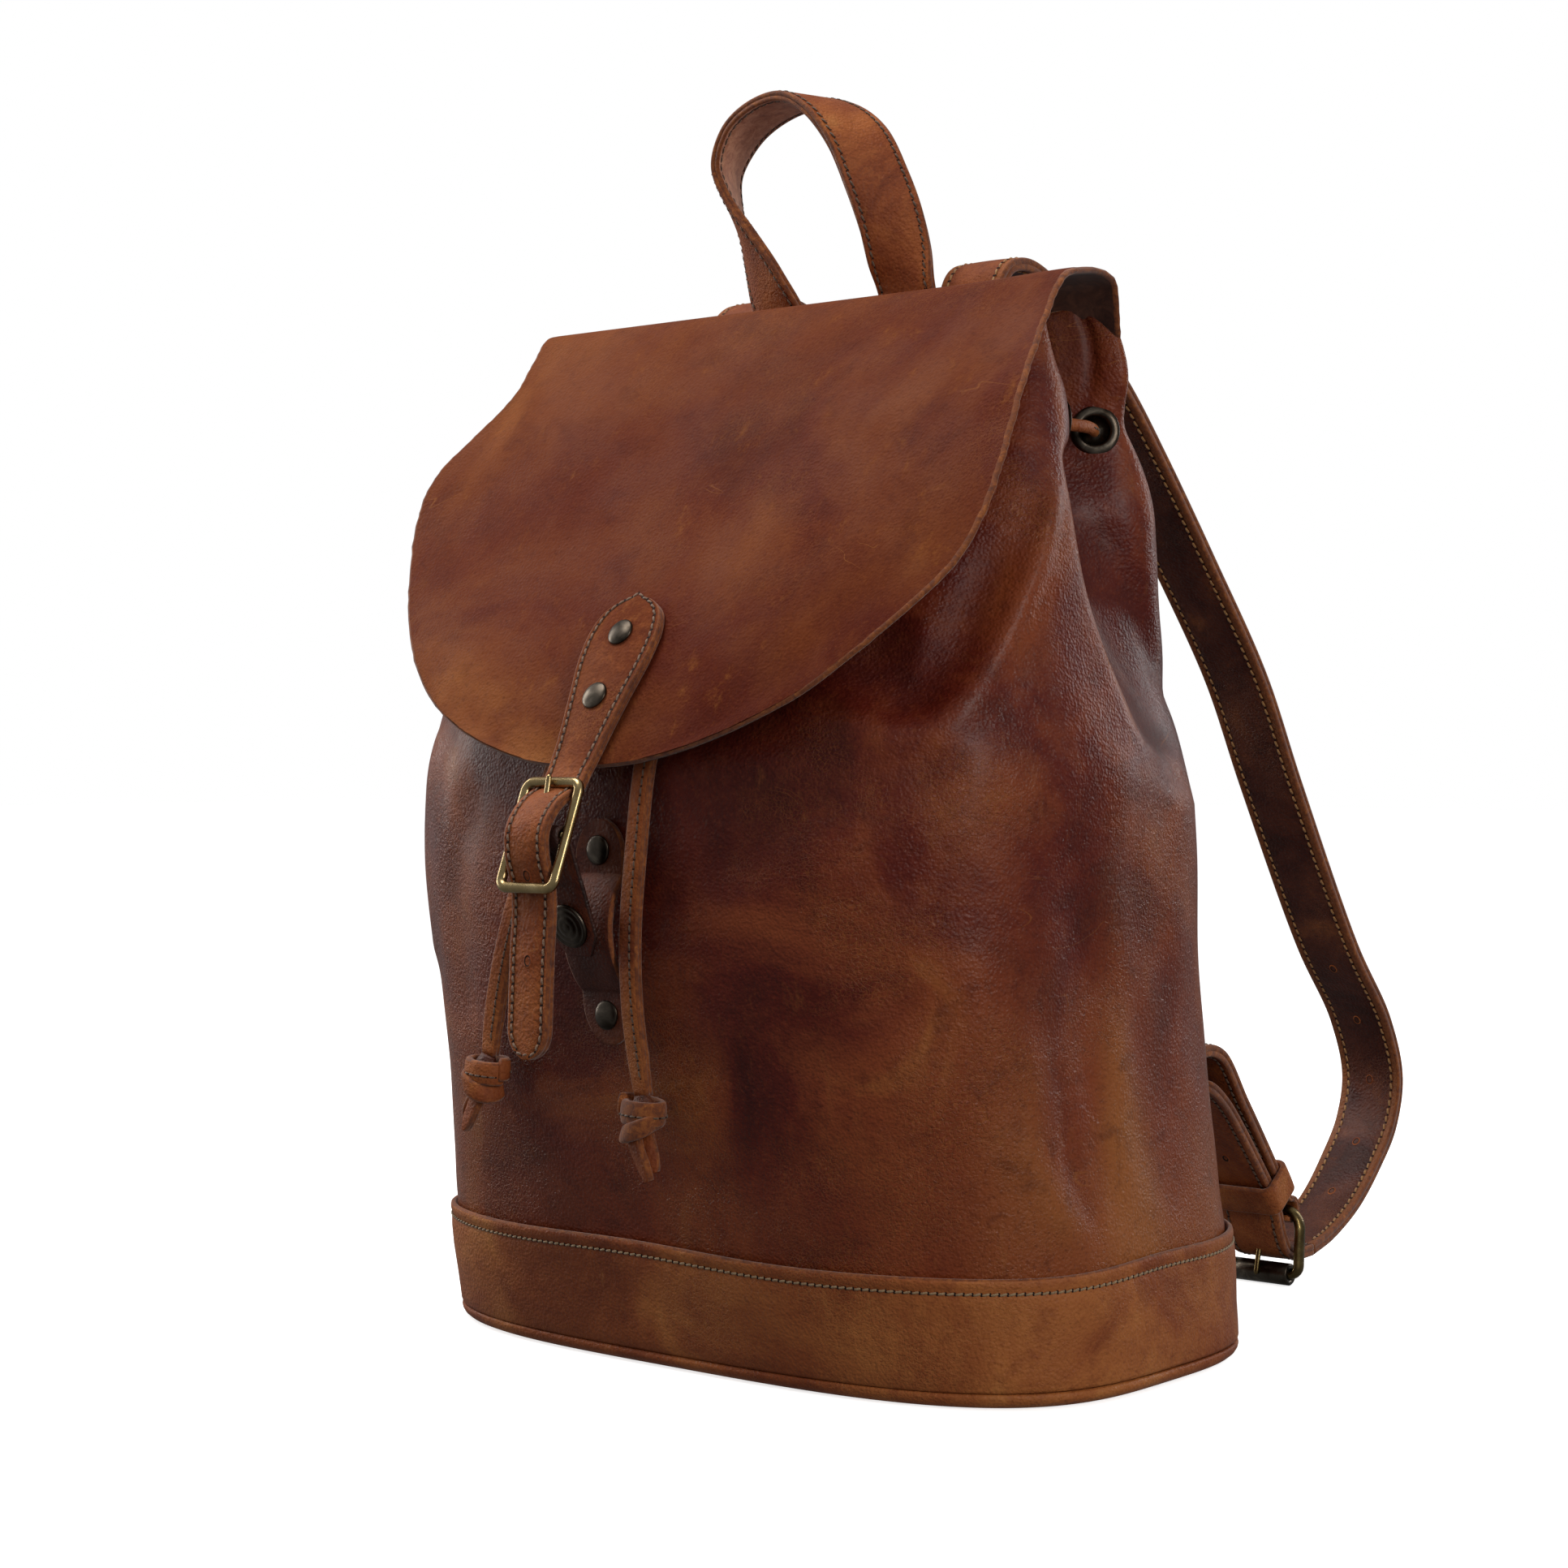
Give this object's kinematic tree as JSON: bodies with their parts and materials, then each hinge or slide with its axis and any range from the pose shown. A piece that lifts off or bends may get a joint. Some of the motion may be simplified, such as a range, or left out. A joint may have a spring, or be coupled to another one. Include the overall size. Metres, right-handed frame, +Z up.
{
  "type": "leather backpack",
  "caption": "Drawstring backpack in oiled leather with a rounded front flap, a buckled closure strap with a snap tab, a carry handle and adjustable shoulder straps.",
  "frame": {"origin": "the middle of the underside, on the surface that the bag stands on", "axes": "+Z up, -Y the front with the flap and the closure strap, +Y the back with the shoulder straps, +X the wearer's right"},
  "size_m": [0.3116, 0.464, 0.479],
  "materials": {
    "body_leather": "oiled and waxed, satin",
    "flap_leather": "oiled, half matt",
    "strap_leather": "oiled, half matt, raw edges",
    "dark_leather": "satin",
    "board": "plain fibre board",
    "dark_brass": "dark antique",
    "worn_brass": "worn antique"
  },
  "bodies": {
    "bag": {"front_body_panel": "body_leather", "back_panel": "body_leather", "base_band": "body_leather", "base_panel": "body_leather", "base_stiffener": "board", "closure_loop": "body_leather", "loop_rivet_lower": "dark_brass", "loop_rivet_upper": "dark_brass", "flap_rear": "flap_leather", "back_yoke": "body_leather", "drawstring_neck": "strap_leather", "eyelet_front_right": "dark_brass", "eyelet_fold_front_right": "dark_brass", "eyelet_fold_rear_right": "dark_brass", "drawstring_end_right": "strap_leather", "drawstring_knot_right": "strap_leather", "handle_root_right": "strap_leather", "strap_root_right": "strap_leather", "anchor_strap_right": "strap_leather", "strap_tail_right": "strap_leather", "shoulder_buckle_right": "dark_brass", "keeper_right": "strap_leather", "eyelet_front_left": "dark_brass", "eyelet_fold_front_left": "dark_brass", "eyelet_fold_rear_left": "dark_brass", "drawstring_end_left": "strap_leather", "drawstring_knot_left": "strap_leather", "handle_root_left": "strap_leather", "strap_root_left": "strap_leather", "anchor_strap_left": "strap_leather", "strap_tail_left": "strap_leather", "shoulder_buckle_left": "dark_brass", "keeper_left": "strap_leather"},
    "flap": {"flap": "flap_leather", "closure_strap_head": "strap_leather", "flap_rivet_upper": "dark_brass", "flap_rivet_lower": "dark_brass"},
    "closure_strap": {"closure_strap": "strap_leather", "front_buckle": "worn_brass"},
    "front_prong": {"front_prong": "worn_brass"},
    "snap_tab": {"snap_tab": "dark_leather", "snap_cap": "dark_brass", "snap_socket": "dark_brass"},
    "handle": {"handle": "strap_leather"},
    "shoulder_strap_right": {"shoulder_strap_right": "strap_leather"},
    "shoulder_prong_right": {"shoulder_prong_right": "dark_brass"},
    "shoulder_roller_right": {"shoulder_roller_right": "dark_brass"},
    "shoulder_strap_left": {"shoulder_strap_left": "strap_leather"},
    "shoulder_prong_left": {"shoulder_prong_left": "dark_brass"},
    "shoulder_roller_left": {"shoulder_roller_left": "dark_brass"}
  },
  "joints": [
    {"name": "flap_hinge", "type": "hinge", "parent": "bag", "child": "flap", "pos_m": [0, -0.025, 0.3932], "axis": [-1, 0, 0], "range_deg": [0, 135]},
    {"name": "closure_strap_swing", "type": "hinge", "parent": "flap", "child": "closure_strap", "pos_m": [0, -0.14432, 0.22373], "axis": [-1, 0, 0], "range_deg": [0, 40]},
    {"name": "front_prong_play", "type": "hinge", "parent": "closure_strap", "child": "front_prong", "pos_m": [0, -0.1635, 0.195], "axis": [1, 0, 0], "range_deg": [0, 5]},
    {"name": "snap_tab_swing", "type": "hinge", "parent": "closure_strap", "child": "snap_tab", "pos_m": [0, -0.1635, 0.195], "axis": [1, 0, 0], "range_deg": [-20, 1.5]},
    {"name": "handle_swing", "type": "hinge", "parent": "bag", "child": "handle", "pos_m": [0, 0.0016, 0.403], "axis": [-1, 0, 0], "range_deg": [-20, 15]},
    {"name": "shoulder_strap_right_swing", "type": "hinge", "parent": "bag", "child": "shoulder_strap_right", "pos_m": [0.0572, 0.0163, 0.3759], "axis": [0.0555, 0.4621, -0.8851], "range_deg": [-3.5, 3.5]},
    {"name": "shoulder_prong_right_play", "type": "hinge", "parent": "bag", "child": "shoulder_prong_right", "pos_m": [0.08, 0.189, 0.032], "axis": [-1, 0, 0], "range_deg": [0, 5]},
    {"name": "shoulder_roller_right_spin", "type": "hinge", "parent": "bag", "child": "shoulder_roller_right", "pos_m": [0.08, 0.187, 0.0048], "axis": [1, 0, 0], "continuous": true},
    {"name": "shoulder_strap_left_swing", "type": "hinge", "parent": "bag", "child": "shoulder_strap_left", "pos_m": [-0.0572, 0.0163, 0.3759], "axis": [-0.0555, 0.4621, -0.8851], "range_deg": [-3.5, 3.5]},
    {"name": "shoulder_prong_left_play", "type": "hinge", "parent": "bag", "child": "shoulder_prong_left", "pos_m": [-0.08, 0.189, 0.032], "axis": [-1, 0, 0], "range_deg": [0, 5]},
    {"name": "shoulder_roller_left_spin", "type": "hinge", "parent": "bag", "child": "shoulder_roller_left", "pos_m": [-0.08, 0.187, 0.0048], "axis": [1, 0, 0], "continuous": true}
  ]
}
